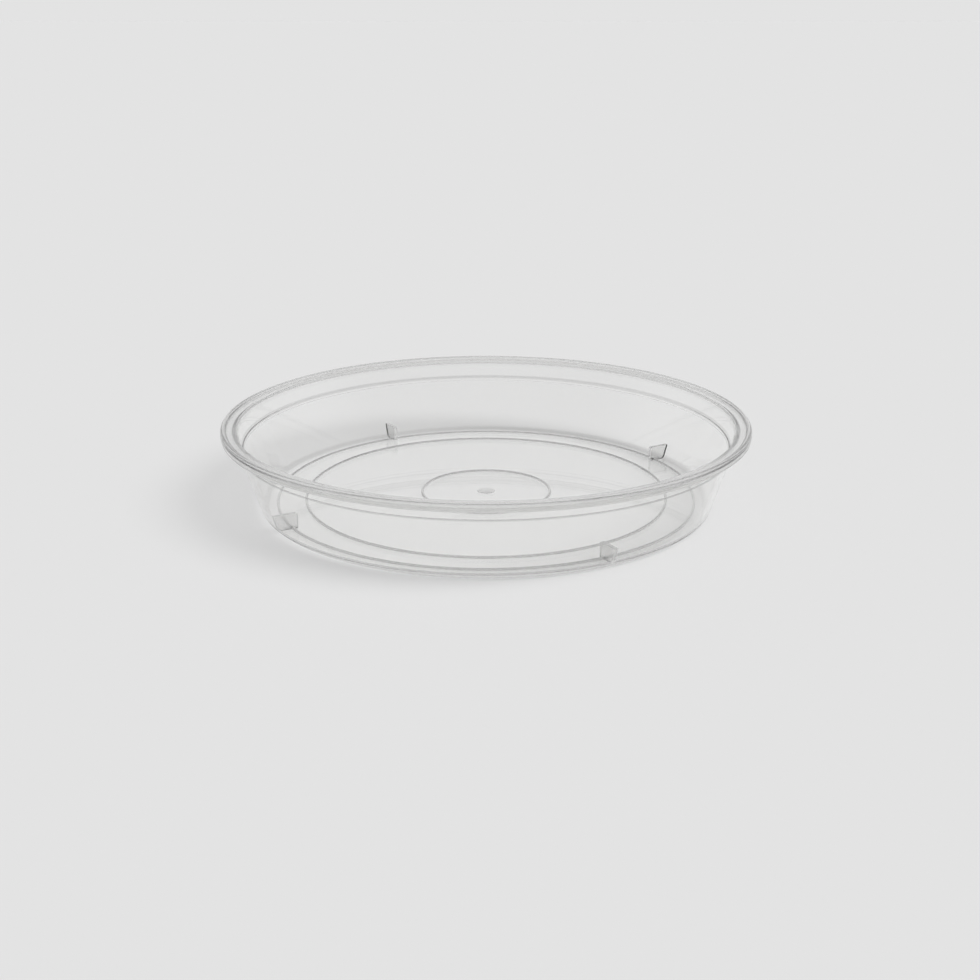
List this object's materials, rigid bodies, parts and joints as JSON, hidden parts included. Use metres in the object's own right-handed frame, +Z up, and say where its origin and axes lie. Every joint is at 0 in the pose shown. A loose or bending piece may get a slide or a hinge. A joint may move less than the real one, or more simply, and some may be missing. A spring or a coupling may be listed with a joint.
{
  "type": "plant saucer",
  "caption": "Round clear plastic saucer with sloping sides, a broad rim with a downturned lip, low ring ribs on its floor and stacking lugs, which catches water under a plant pot.",
  "frame": {"origin": "middle of the flat underside, on the surface that the saucer stands on", "axes": "+Z up along the saucer's axis of revolution; +X and +Y lie in the standing surface, with the first stacking lug 30 degrees from +X towards +Y"},
  "size_m": [0.19, 0.19, 0.0303],
  "materials": {
    "clear_plastic": "clear, colourless moulded plastic with a smooth gloss"
  },
  "bodies": {
    "root": {"floor_plate": "clear_plastic", "gate_mark": "clear_plastic", "centre_ring": "clear_plastic", "inner_ring": "clear_plastic", "outer_ring": "clear_plastic", "base_corner": "clear_plastic", "side_wall": "clear_plastic", "collar": "clear_plastic", "rim_flange": "clear_plastic", "rim_lip": "clear_plastic", "stacking_lug_1": "clear_plastic", "stacking_lug_2": "clear_plastic", "stacking_lug_3": "clear_plastic", "stacking_lug_4": "clear_plastic"}
  },
  "joints": []
}
